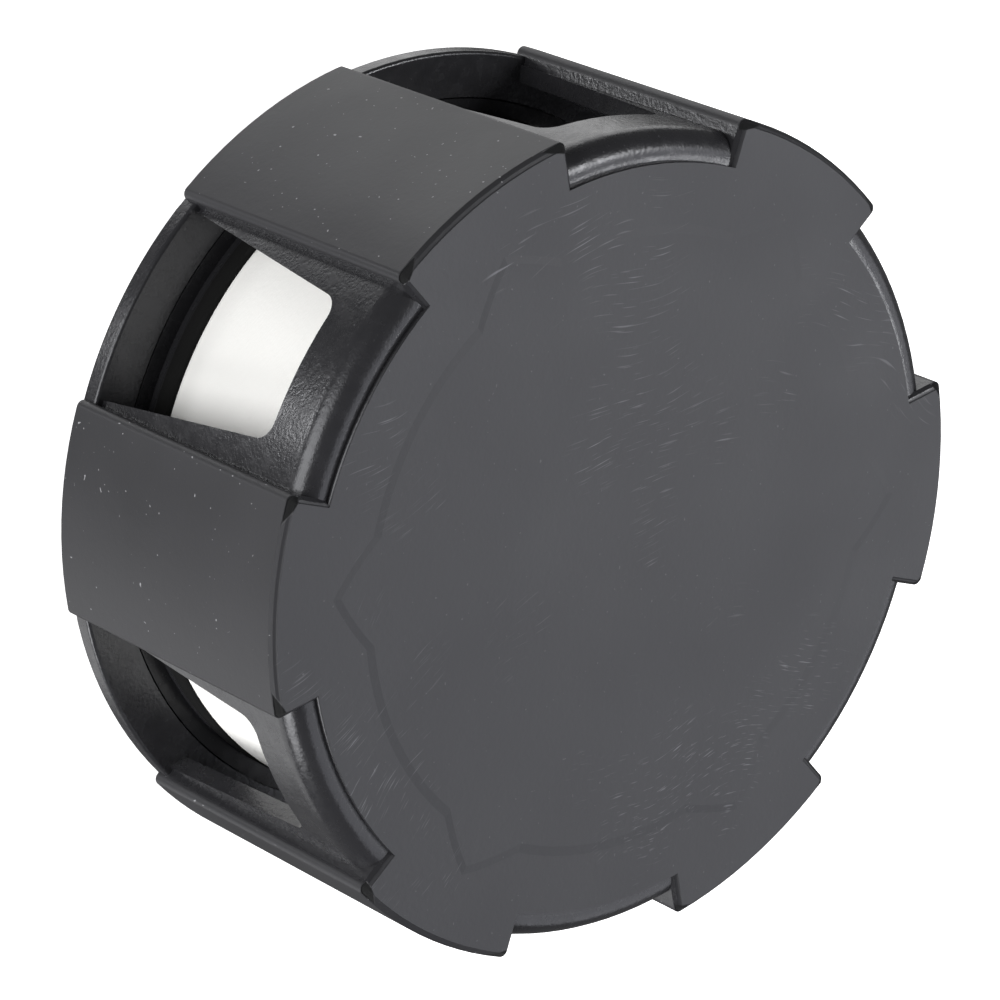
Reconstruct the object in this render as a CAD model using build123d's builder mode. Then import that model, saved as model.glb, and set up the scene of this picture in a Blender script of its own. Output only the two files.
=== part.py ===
"""Hydraulic filler breather: a moulded grip cap with air windows over a filter ring.

Millimetres. The cap's axis is +Z. The origin is the centre of the rear plane that it rests on,
and the flat closed face looks up. Air enters through the windows, crosses the filter ring and
leaves through the threaded neck socket in the middle of the base plate.
"""

import os
from math import cos, radians, sin

from build123d import *

# Overall form
cap_radius = 40.0  # over the grip pads
cap_height = 32.6  # rear plane to closed face
pad_count = 6  # grip pads, with an air window between each pair

# Grip pads
pad_height = 1.7  # how far a pad stands proud of the windowed wall
pad_half_angle = 15.0  # degrees, each side of a pad's middle
pad_edge_chamfer = 0.6  # along the front and rear edges
pad_corner_round = 0.7  # along the two long edges

# Bays between the pads
wall_thickness = 1.7
face_step = 0.5  # drop from the face's edge to the shoulder
shoulder_ledge = 0.5  # flat ring between the face's edge and the rounded shoulder
shoulder_round = 2.3
roof_thickness = 2.4
roof_corner_round = 1.2  # inside, between wall and roof

# Rear rim of the shell
rim_height = 0.8  # how far the rim stands proud of the windowed wall
rim_edge_round = 0.35
sill_height = 2.0  # lower edge of the windows
flange_width = 1.9  # how far the rear flange stands in from the wall
rebate_width = 1.5  # step under the flange that takes the base plate
rebate_depth = 1.1

# Air windows, narrower towards the face
window_top = 25.5
window_sill_width = 19.0
window_top_width = 13.6
window_corner_round = 1.9

# Base plate
plate_clearance = 0.15  # radial, plate in shell
plate_recess = 0.2  # plate's underside above the rear plane
seat_set_in = 1.7  # raised ring that carries the filter, within the shell's rear flange
seat_height = 4.6
seat_edge_round = 0.5
hub_wall = 3.2
hub_height = 14.0
relief_width = 2.4  # moulding relief under the seat
relief_wall = 1.6  # outside the relief
relief_depth = 2.4

# Neck socket, at the crests of a G 1 1/4 pipe thread
socket_radius = 19.5
socket_lead_in = 0.8

# Seal between the base plate and the filler neck
seal_inner_radius = 21.2
seal_width = 6.3
seal_thickness = 1.7
seal_recess_depth = 1.6
seal_clearance = 0.15
seal_edge_round = 0.3

# Filter ring
filter_clearance = 0.3  # radial, hub in filter
filter_set_in = 0.1  # filter's outside within the seat's
filter_top_gap = 0.2
filter_edge_round = 0.9

# Worked out from the sizes above
bay_pitch = 360 / pad_count
bay_radius = cap_radius - pad_height  # outside of the windowed wall
rim_radius = bay_radius + rim_height
wall_inner_radius = bay_radius - wall_thickness
roof_underside = cap_height - roof_thickness
shoulder_top = cap_height - face_step
shoulder_start = bay_radius - shoulder_round
face_edge_radius = shoulder_start - shoulder_ledge
flange_bore_radius = wall_inner_radius - flange_width
rebate_radius = flange_bore_radius + rebate_width
seat_radius = flange_bore_radius - seat_set_in
plate_radius = flange_bore_radius - plate_clearance
plate_flange_radius = rebate_radius - plate_clearance
hub_radius = socket_radius + hub_wall
seal_outer_radius = seal_inner_radius + seal_width
seal_recess_radius = seal_outer_radius + seal_clearance
seal_recess_top = plate_recess + seal_recess_depth
relief_outer_radius = seat_radius - relief_wall
filter_top = roof_underside - filter_top_gap


def rings(part, radius):
    """The circular edges of a part that have one radius, lowest first."""
    circles = part.edges().filter_by(GeomType.CIRCLE)
    return circles.filter_by(lambda edge: abs(edge.radius - radius) < 1e-6).sort_by(Axis.Z)


# Grip pads: six blocks round the shell, rooted inside its wall
pad_root_radius = face_edge_radius - roof_thickness
wedge_length = 2 * cap_radius
wedge_x = wedge_length * cos(radians(pad_half_angle))
wedge_y = wedge_length * sin(radians(pad_half_angle))
with BuildSketch() as pad_wedge:
    with BuildLine():
        Polyline((0, 0), (wedge_x, -wedge_y), (wedge_x, wedge_y), close=True)
    make_face()

with BuildPart() as grip_pads:
    with BuildSketch():
        with PolarLocations(0, pad_count, start_angle=bay_pitch / 2):
            add(pad_wedge.sketch)
        Circle(cap_radius, mode=Mode.INTERSECT)
        Circle(pad_root_radius, mode=Mode.SUBTRACT)
    extrude(amount=cap_height)
    outer_corners = grip_pads.edges().filter_by(Axis.Z).filter_by(
        lambda edge: Vector(edge.center().X, edge.center().Y).length > bay_radius
    )
    fillet(outer_corners, pad_corner_round)
    by_height = grip_pads.edges().group_by(Axis.Z)
    chamfer(by_height[0] + by_height[-1], pad_edge_chamfer)


# Cap shell: closed face, windowed wall, rear rim and grip pads in one moulding
with BuildPart() as cap_shell:
    with BuildSketch(Plane.XZ):
        with BuildLine():
            Polyline(
                (shoulder_start, shoulder_top),
                (face_edge_radius, shoulder_top),
                (face_edge_radius, cap_height),
                (0, cap_height),
                (0, 0),
                (rim_radius, 0),
                (rim_radius, sill_height),
                (bay_radius, sill_height),
                (bay_radius, shoulder_top - shoulder_round),
            )
            RadiusArc(
                (bay_radius, shoulder_top - shoulder_round),
                (shoulder_start, shoulder_top),
                -shoulder_round,
            )
        make_face()
    revolve(axis=Axis.Z)
    fillet(rings(cap_shell, rim_radius), rim_edge_round)
    add(grip_pads.part)

    # Hollow with the rear flange and the rebate for the base plate
    with BuildSketch(Plane.XZ):
        with BuildLine():
            Polyline(
                (0, 0),
                (rebate_radius, 0),
                (rebate_radius, rebate_depth),
                (flange_bore_radius, rebate_depth),
                (flange_bore_radius, sill_height),
                (wall_inner_radius, sill_height),
                (wall_inner_radius, roof_underside - roof_corner_round),
            )
            RadiusArc(
                (wall_inner_radius, roof_underside - roof_corner_round),
                (wall_inner_radius - roof_corner_round, roof_underside),
                -roof_corner_round,
            )
            Polyline((wall_inner_radius - roof_corner_round, roof_underside), (0, roof_underside), (0, 0))
        make_face()
    revolve(axis=Axis.Z, mode=Mode.SUBTRACT)

    # Air windows, one through the wall in the middle of each bay
    for bay in range(pad_count):
        bay_plane = Plane.XY.rotated((0, 0, bay * bay_pitch))
        window_plane = Plane(
            origin=bay_plane.x_dir * flange_bore_radius, x_dir=bay_plane.y_dir, z_dir=bay_plane.x_dir
        )
        with BuildSketch(window_plane) as window:
            with BuildLine():
                Polyline(
                    (-window_sill_width / 2, sill_height),
                    (window_sill_width / 2, sill_height),
                    (window_top_width / 2, window_top),
                    (-window_top_width / 2, window_top),
                    close=True,
                )
            make_face()
            fillet(window.vertices().group_by(Axis.Y)[-1], window_corner_round)
        extrude(amount=cap_radius - flange_bore_radius, mode=Mode.SUBTRACT)

cap_shell.part.label = "cap_shell"


# Base plate: closes the rear, carries the filter on its seat and holds the threaded neck socket
with BuildPart() as base_plate:
    with BuildSketch(Plane.XZ):
        with BuildLine():
            Polyline(
                (socket_radius, plate_recess),
                (plate_flange_radius, plate_recess),
                (plate_flange_radius, rebate_depth),
                (plate_radius, rebate_depth),
                (plate_radius, sill_height),
                (seat_radius, sill_height),
                (seat_radius, seat_height),
                (hub_radius, seat_height),
                (hub_radius, hub_height),
                (socket_radius, hub_height),
                close=True,
            )
        make_face()
    revolve(axis=Axis.Z)
    fillet(rings(base_plate, seat_radius)[-1], seat_edge_round)
    with BuildSketch(Plane.XY.offset(plate_recess)):
        Circle(seal_recess_radius)
    extrude(amount=seal_recess_depth, mode=Mode.SUBTRACT)
    with BuildSketch(Plane.XY.offset(plate_recess)):
        Circle(relief_outer_radius)
        Circle(relief_outer_radius - relief_width, mode=Mode.SUBTRACT)
    extrude(amount=relief_depth, mode=Mode.SUBTRACT)
    chamfer(rings(base_plate, socket_radius), socket_lead_in)
base_plate.part.label = "base_plate"


# Neck seal: flat rubber ring in the underside of the base plate
with BuildPart() as neck_seal:
    with BuildSketch(Plane.XY.offset(seal_recess_top - seal_thickness)):
        Circle(seal_outer_radius)
        Circle(seal_inner_radius, mode=Mode.SUBTRACT)
    extrude(amount=seal_thickness)
    fillet(neck_seal.edges(), seal_edge_round)
neck_seal.part.label = "neck_seal"


# Filter ring: stands on the seat round the hub, just clear of the roof
with BuildPart() as filter_ring:
    with BuildSketch(Plane.XY.offset(seat_height)):
        Circle(seat_radius - filter_set_in)
        Circle(hub_radius + filter_clearance, mode=Mode.SUBTRACT)
    extrude(amount=filter_top - seat_height)
    fillet(filter_ring.edges().filter_by(GeomType.CIRCLE), filter_edge_round)
filter_ring.part.label = "filter_ring"


os.makedirs("parts", exist_ok=True)
for piece in (cap_shell, base_plate, neck_seal, filter_ring):
    export_step(piece.part, f"parts/{piece.part.label}.step")
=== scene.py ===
"""Looks of the hydraulic filler breather: materials, floor, lights and the photograph's view."""
from math import cos, pi, radians, sin

import bpy
from mathutils import Matrix, Vector


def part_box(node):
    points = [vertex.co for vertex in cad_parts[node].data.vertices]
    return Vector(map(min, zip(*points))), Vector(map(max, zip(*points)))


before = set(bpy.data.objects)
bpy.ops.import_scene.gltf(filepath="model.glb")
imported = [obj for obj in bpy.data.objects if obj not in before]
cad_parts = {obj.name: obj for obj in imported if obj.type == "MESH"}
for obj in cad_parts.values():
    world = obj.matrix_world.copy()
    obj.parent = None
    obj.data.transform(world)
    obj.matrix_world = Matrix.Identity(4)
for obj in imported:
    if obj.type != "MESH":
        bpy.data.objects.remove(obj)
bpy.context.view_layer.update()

MM = 0.001
CAP_LOW, CAP_HIGH = (Vector(corner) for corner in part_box("cap_shell"))
CAP_MIDDLE = (CAP_LOW + CAP_HIGH) / 2
CAP_RADIUS = (CAP_HIGH.y - CAP_LOW.y) / 2
FACE_HEIGHT = CAP_HIGH.z

# View
CAMERA_AZIMUTH = 64.13  # degrees from +X, as seen from above
CAMERA_ELEVATION = 46.54
CAMERA_DISTANCE = 0.4727  # from the middle of the cap
CAMERA_ROLL = 113.4  # how far the cap's axis leans clockwise from the picture's upright
CAMERA_LENS = 182.7
SENSOR_WIDTH = 36.0
CAMERA_AIM = (-0.055, 0.140)  # fine tilt and pan of the camera, in degrees

# Colours, linear
NYLON_DARK = (0.0190, 0.0190, 0.0210)
NYLON_LIGHT = (0.0250, 0.0248, 0.0275)
# painted shade: near-black colour put into the grips' corner facets and onto the base plate's raised ring
PAINTED_SHADE_BLACK = (0.004, 0.004, 0.004)
SCUFF_GREY = (0.26, 0.26, 0.28)
DUST_GREY = (0.42, 0.42, 0.44)
RUBBER_DARK = (0.016, 0.016, 0.016)
RUBBER_LIGHT = (0.026, 0.026, 0.026)
FELT_DARK = (0.90, 0.895, 0.87)
FELT_LIGHT = (0.94, 0.935, 0.91)

# Where the nylon changes its finish
HALF_PITCH = pi / 6  # from the middle of a bay to the middle of the next grip
GRIP_START = HALF_PITCH / 2  # from the middle of a bay to the next grip's side
FACE_BAND = (FACE_HEIGHT - 0.3 * MM, FACE_HEIGHT - 0.1 * MM)
GRIP_BAND = (CAP_RADIUS - 0.9 * MM, CAP_RADIUS - 0.6 * MM)
RING_BAND = (2.6 * MM, 2.9 * MM)  # foot of the raised ring on the base plate
SATIN = (0.46, 0.54)  # roughness of the grips and the face
SHINY = (0.20, 0.30)  # roughness of the bays and the inside
SPREAD = (0.35, 0.65)  # usual spread of a noise's value

# Scuffs run in arcs round a point outside the cap
SCUFF_OFFSET = (58 * MM, 13 * MM)  # from that point to the cap's axis
SCUFF_STRETCH = 0.0036  # the smaller, the longer the scuffs
SCUFF_WANDER = 14 * MM

# Small forms of the cap's face
SINK_REACH = 29.4 * MM  # radius of the sink crease beside the bays
SINK_POINT = 33.0 * MM  # its radius behind the middle of a grip
SINK_TURN = radians(20)  # how far from a bay's middle it starts to run outwards
SINK_HALF_WIDTH = 0.45 * MM
SINK_DEPTH = 0.08 * MM
CORNER_WIDTH = 1.2 * MM  # facet at the front corners of the grips
CORNER_LENGTH = 3.0 * MM
CORNER_BAND = (FACE_HEIGHT - 0.55 * MM, FACE_HEIGHT - 0.45 * MM)


# ---------------------------------------------------------------- node helpers

class Nodes:
    """A material's node tree, with short calls for the nodes that are used here."""

    def __init__(self, name):
        self.material = bpy.data.materials.new(name)
        self.material.use_nodes = True
        self.tree = self.material.node_tree
        self.shader = self.tree.nodes["Principled BSDF"]

    def add(self, kind, links=None, **settings):
        """A node with its attributes set, and its inputs linked or filled by name or number."""
        node = self.tree.nodes.new(kind)
        for key, value in settings.items():
            setattr(node, key, value)
        for key, value in (links or {}).items():
            self.put(node, key, value)
        return node

    def put(self, node, key, value):
        """Links a socket into an input, or sets the input to a plain value."""
        if isinstance(value, bpy.types.NodeSocket):
            self.tree.links.new(value, node.inputs[key])
        else:
            node.inputs[key].default_value = value

    def place(self):
        """The point's place on the object, in metres."""
        return self.add("ShaderNodeTexCoord").outputs["Object"]

    def scaled(self, place, factors):
        """A place stretched by a factor along each axis."""
        return self.add("ShaderNodeVectorMath", {0: place, 1: factors}, operation="MULTIPLY").outputs[0]

    def noise(self, place, scale, detail=3.0, roughness=0.5):
        """Noise from 0 to 1. The scale is in swings per metre."""
        links = {"Vector": place, "Scale": scale, "Detail": detail, "Roughness": roughness}
        return self.add("ShaderNodeTexNoise", links).outputs["Fac"]

    def math(self, operation, first, second=0.0, third=0.0):
        """Result of a Math node."""
        links = {0: first, 1: second, 2: third}
        return self.add("ShaderNodeMath", links, operation=operation).outputs[0]

    def ramp(self, value, low, high, start=0.0, end=1.0):
        """value from low to high, mapped to start to end and held there beyond."""
        links = {"Value": value, "From Min": low, "From Max": high, "To Min": start, "To Max": end}
        return self.add("ShaderNodeMapRange", links).outputs["Result"]

    def mix(self, factor, first, second):
        """Blend of two colours."""
        node = self.add("ShaderNodeMix", data_type="RGBA")
        self.put(node, "Factor", factor)
        colours = [socket for socket in node.inputs if socket.type == "RGBA"]
        for socket, value in zip(colours, (first, second)):
            if isinstance(value, bpy.types.NodeSocket):
                self.tree.links.new(value, socket)
            else:
                socket.default_value = (*value, 1.0)
        return [socket for socket in node.outputs if socket.type == "RGBA"][0]

    def reach(self, x, y):
        """Distance from the axis to the point x, y."""
        return self.math("SQRT", self.math("ADD", self.math("MULTIPLY", x, x), self.math("MULTIPLY", y, y)))

    def ripple(self, place):
        """Low swell of a moulded surface."""
        return self.noise(place, 700.0, 3.0, 0.6)

    def bump(self, height, distance, strength=1.0, normal=None):
        """Normal of a surface raised by height times distance, on top of another bump."""
        links = {"Height": height, "Distance": distance, "Strength": strength}
        if normal is not None:
            links["Normal"] = normal
        return self.add("ShaderNodeBump", links).outputs["Normal"]


# ---------------------------------------------------------------- materials

def scuffs(n, place, x, y):
    """How scuffed each point is: short wandering arcs, in patches."""
    from_x = n.math("ADD", x, SCUFF_OFFSET[0])
    from_y = n.math("ADD", y, SCUFF_OFFSET[1])
    wander = n.math("MULTIPLY", n.noise(place, 45.0, 1.0), SCUFF_WANDER)
    across = n.math("ADD", n.reach(from_x, from_y), wander)
    along = n.math("MULTIPLY", n.math("ARCTAN2", from_y, from_x), SCUFF_STRETCH)
    arcs = n.add("ShaderNodeCombineXYZ", {0: across, 1: along}).outputs[0]
    streak = n.ramp(n.noise(arcs, 5200.0, 1.0, 0.5), 0.63, 0.76)
    patch = n.ramp(n.noise(place, 75.0, 2.0), 0.52, 0.64)
    return n.math("MULTIPLY", streak, patch)


def corner_facet(n, z, radius, from_bay):
    """Depth, up to 1, of the long slanting facet at the front corners of each grip; it is bumped in and
    also painted with shade.
    """
    past_side = n.math("MULTIPLY", n.math("SUBTRACT", from_bay, GRIP_START), radius)
    along = n.math("DIVIDE", n.math("MAXIMUM", past_side, 0.0), CORNER_LENGTH)
    inwards = n.math("DIVIDE", n.math("SUBTRACT", CAP_RADIUS, radius), CORNER_WIDTH)
    depth = n.math("SUBTRACT", 1.0, n.math("ADD", along, inwards))
    return n.math("MULTIPLY", n.math("MAXIMUM", depth, 0.0), n.ramp(z, *CORNER_BAND))


def sink_crease(n, radius, from_bay):
    """0 inside and 1 outside the crease, which points outwards behind the middle of each grip."""
    crease = n.ramp(from_bay, SINK_TURN, HALF_PITCH, SINK_REACH, SINK_POINT)
    return n.ramp(n.math("SUBTRACT", radius, crease), -SINK_HALF_WIDTH, SINK_HALF_WIDTH)


def black_nylon():
    """The cap's glass-filled nylon: matt on the grips and the face, shiny in the bays and inside."""
    n = Nodes("black_nylon")
    place = n.place()
    x, y, z = n.add("ShaderNodeSeparateXYZ", {0: place}).outputs
    radius = n.reach(x, y)
    from_bay = n.math("PINGPONG", n.math("ARCTAN2", y, x), HALF_PITCH)  # angle to the nearest bay's middle
    on_face = n.ramp(z, *FACE_BAND)
    on_grip = n.ramp(radius, *GRIP_BAND)
    matt = n.math("MAXIMUM", on_face, on_grip)

    cloud = n.ramp(n.noise(place, 60.0, 4.0), 0.3, 0.7)
    scuff = n.math("MULTIPLY", scuffs(n, place, x, y), on_face)
    dust = n.ramp(n.noise(place, 2800.0, 0.0), 0.82, 0.88)
    dust_share = n.math("MULTIPLY_ADD", on_grip, 0.5, 0.1)  # the dust lies mostly on the grips
    facet = corner_facet(n, z, radius, from_bay)
    facet_shade_mask = n.ramp(facet, 0.0, 0.08)
    colour = n.mix(cloud, NYLON_DARK, NYLON_LIGHT)
    colour = n.mix(n.math("MULTIPLY", scuff, 0.40), colour, SCUFF_GREY)
    colour = n.mix(n.math("MULTIPLY", dust, dust_share), colour, DUST_GREY)
    # painted shade: inside the grips' corner facets the colour goes near-black, standing in for the shade
    # these small notches hold
    n.put(n.shader, "Base Color", n.mix(facet_shade_mask, colour, PAINTED_SHADE_BLACK))

    ripple = n.ripple(place)
    satin = n.ramp(cloud, 0.0, 1.0, *SATIN)
    shiny = n.ramp(ripple, *SPREAD, *SHINY)
    finish = n.math("MULTIPLY_ADD", matt, n.math("SUBTRACT", satin, shiny), shiny)
    finish = n.math("SUBTRACT", finish, n.math("MULTIPLY", scuff, 0.1))
    n.put(n.shader, "Roughness", n.math("MAXIMUM", finish, facet_shade_mask))
    n.put(n.shader, "Specular Tint", (0.955, 0.965, 1.0, 1.0))

    crease = n.math("MULTIPLY", sink_crease(n, radius, from_bay), on_face)
    speckle = n.math("MULTIPLY", n.noise(place, 3000.0, 2.0, 0.6), n.math("SUBTRACT", 1.0, matt))
    grain = n.noise(place, 2200.0, 3.0, 0.6)
    normal = n.bump(crease, -SINK_DEPTH)
    normal = n.bump(facet, -0.5 * CORNER_WIDTH, 1.0, normal)
    normal = n.bump(ripple, 0.06 * MM, 0.35, normal)
    normal = n.bump(speckle, 0.08 * MM, 0.3, normal)
    n.put(n.shader, "Normal", n.bump(grain, 0.03 * MM, 0.35, normal))
    return n.material


def black_nylon_inside():
    """The base plate's nylon: shiny on the floor; matt on the raised ring under the filter, which is
    painted near-black as painted shade.
    """
    n = Nodes("black_nylon_inside")
    place = n.place()
    height = n.add("ShaderNodeSeparateXYZ", {0: place}).outputs[2]
    on_ring = n.ramp(height, *RING_BAND)
    ripple = n.ripple(place)
    shiny = n.ramp(ripple, *SPREAD, *SHINY)
    # painted shade: the raised ring is coloured near-black for the shade at the foot of the filter
    n.put(n.shader, "Base Color", n.mix(on_ring, NYLON_DARK, PAINTED_SHADE_BLACK))
    n.put(n.shader, "Roughness", n.math("MAXIMUM", shiny, n.math("MULTIPLY", on_ring, 0.9)))
    n.put(n.shader, "Specular IOR Level", 0.2)
    n.put(n.shader, "Normal", n.bump(ripple, 0.06 * MM, 0.35))
    return n.material


def seal_rubber():
    """Dull black rubber."""
    n = Nodes("seal_rubber")
    grain = n.noise(n.place(), 3000.0, 2.0)
    n.put(n.shader, "Base Color", n.mix(grain, RUBBER_DARK, RUBBER_LIGHT))
    n.put(n.shader, "Roughness", n.ramp(grain, 0.3, 0.7, 0.55, 0.7))
    n.put(n.shader, "Normal", n.bump(grain, 0.02 * MM, 0.4))
    return n.material


def filter_felt():
    """Off-white felted fibre."""
    n = Nodes("filter_felt")
    place = n.place()
    fibres = n.noise(n.scaled(place, (1.0, 1.0, 3.0)), 1500.0, 4.0, 0.6)
    cloud = n.noise(place, 120.0, 3.0)
    n.put(n.shader, "Base Color", n.mix(cloud, FELT_DARK, FELT_LIGHT))
    n.put(n.shader, "Roughness", 0.95)
    n.put(n.shader, "Sheen Weight", 0.2)
    n.put(n.shader, "Normal", n.bump(fibres, 0.08 * MM, 0.4))
    return n.material


def floor_white():
    """Plain white that shows at full brightness, like a lit table."""
    n = Nodes("floor_white")
    n.put(n.shader, "Base Color", (0.9, 0.9, 0.9, 1.0))
    n.put(n.shader, "Roughness", 0.9)
    n.put(n.shader, "Emission Color", (1.0, 1.0, 1.0, 1.0))
    n.put(n.shader, "Emission Strength", 1.0)
    return n.material


def paint(node, material):
    """Gives a carried-over CAD node one material all over."""
    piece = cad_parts[node]
    if not piece.material_slots:
        piece.data.materials.append(material)
    for entry in piece.material_slots:
        entry.material = material


# ---------------------------------------------------------------- stage

def outward(azimuth, elevation):
    """Unit vector away from the cap, azimuth from +X towards +Y, in degrees."""
    around, above = radians(azimuth), radians(elevation)
    return Vector((cos(around) * cos(above), sin(around) * cos(above), sin(above)))


def add_floor(material):
    """White light table. It casts and reflects nothing, so the softboxes under it light the cap too."""
    size = 4.0
    mesh = bpy.data.meshes.new("floor")
    corners = [(-size, -size, 0), (size, -size, 0), (size, size, 0), (-size, size, 0)]
    mesh.from_pydata(corners, [], [(0, 1, 2, 3)])
    mesh.materials.append(material)
    floor = bpy.data.objects.new("floor", mesh)
    bpy.context.collection.objects.link(floor)
    floor.visible_diffuse = False
    floor.visible_glossy = False
    floor.visible_shadow = False


def add_camera():
    """Camera at the photograph's view of the cap."""
    data = bpy.data.cameras.new("camera")
    data.lens = CAMERA_LENS
    data.sensor_width = SENSOR_WIDTH
    data.clip_start = 0.01
    camera = bpy.data.objects.new("camera", data)
    bpy.context.collection.objects.link(camera)
    back = outward(CAMERA_AZIMUTH, CAMERA_ELEVATION)
    camera.location = CAP_MIDDLE + back * CAMERA_DISTANCE
    across = Vector((0, 0, 1)).cross(back).normalized()
    upright = back.cross(across)
    level = Matrix((across, upright, back)).transposed()
    rolled = level @ Matrix.Rotation(radians(CAMERA_ROLL), 3, "Z")
    aim_x, aim_y = CAMERA_AIM
    aimed = rolled @ Matrix.Rotation(radians(aim_x), 3, "X") @ Matrix.Rotation(radians(aim_y), 3, "Y")
    camera.rotation_mode = "QUATERNION"
    camera.rotation_quaternion = aimed.to_quaternion()
    bpy.context.scene.camera = camera


def add_softbox(name, azimuth, elevation, distance, size, radiance, colour=(1.0, 1.0, 1.0)):
    """A square soft light aimed at the cap. Its power follows from its size and how bright it looks."""
    data = bpy.data.lights.new(name, "AREA")
    data.shape = "SQUARE"
    data.size = size
    data.energy = radiance * pi * size * size
    data.color = colour
    light = bpy.data.objects.new(name, data)
    bpy.context.collection.objects.link(light)
    light.location = CAP_MIDDLE + outward(azimuth, elevation) * distance
    light.rotation_mode = "QUATERNION"
    light.rotation_quaternion = (CAP_MIDDLE - light.location).to_track_quat("-Z", "Y")


def add_world(strength):
    """Even white light from all round."""
    world = bpy.data.worlds.new("studio")
    world.use_nodes = True
    world.node_tree.nodes["Background"].inputs["Color"].default_value = (1.0, 1.0, 1.0, 1.0)
    world.node_tree.nodes["Background"].inputs["Strength"].default_value = strength
    bpy.context.scene.world = world


# ---------------------------------------------------------------- scene

paint("cap_shell", black_nylon())
paint("base_plate", black_nylon_inside())
paint("neck_seal", seal_rubber())
paint("filter_ring", filter_felt())

add_floor(floor_white())
add_camera()
add_world(0.12)
add_softbox("face_sheen", 244, 46, 1.0, 1.2, 1.34, (0.93, 0.94, 1.0))
add_softbox("ledge_glint", 254, 45, 1.0, 0.12, 17.0)
add_softbox("window_fill", 82, 5, 0.8, 0.6, 5.0)
add_softbox("low_window_fill", 128, 6, 0.8, 0.45, 7.0)
add_softbox("upper_strip", -42, -44, 1.0, 0.6, 1.4)
add_softbox("middle_strip", 4, -46, 1.0, 0.5, 2.3)
add_softbox("lower_strip", 144, -42, 1.0, 0.7, 1.15)
add_softbox("bay_glint", 68, -40, 1.0, 0.15, 15.0)
add_softbox("key", -54, 56, 1.0, 0.3, 14.0)
bpy.context.scene.view_settings.view_transform = "Standard"
